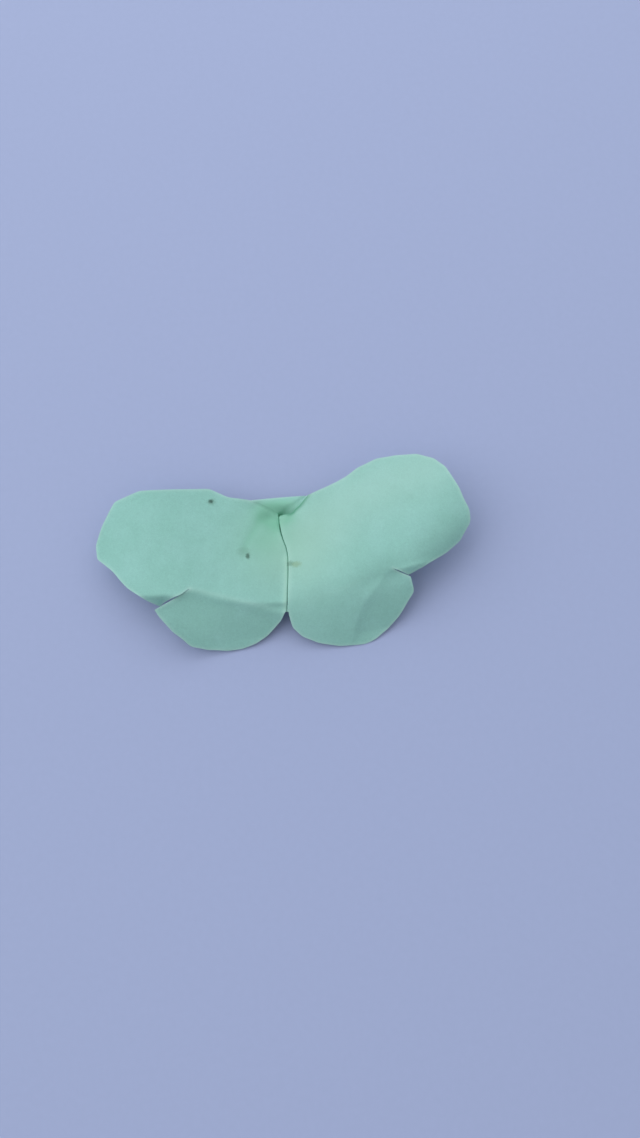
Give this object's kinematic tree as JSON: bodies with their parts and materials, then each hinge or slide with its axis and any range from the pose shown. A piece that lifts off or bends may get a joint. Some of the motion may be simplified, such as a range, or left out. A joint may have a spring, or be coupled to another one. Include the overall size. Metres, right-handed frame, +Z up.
{
  "type": "paper butterfly",
  "caption": "Mint green paper butterfly, folded in half and cut from a single sheet with scissors, with a pleat for a body, open forewings and hindwings bent down to the table.",
  "frame": {"origin": "middle of the bounding box in plan, at its base, which is the table the butterfly lies on", "axes": "+X across the wings to the butterfly's right forewing as seen from above with the head away, +Y along the body to the head, +Z up from the table"},
  "size_m": [0.0636, 0.0314, 0.0087],
  "materials": {
    "paper": "matte"
  },
  "bodies": {
    "root": {"folded_sheet": "paper"}
  },
  "joints": []
}
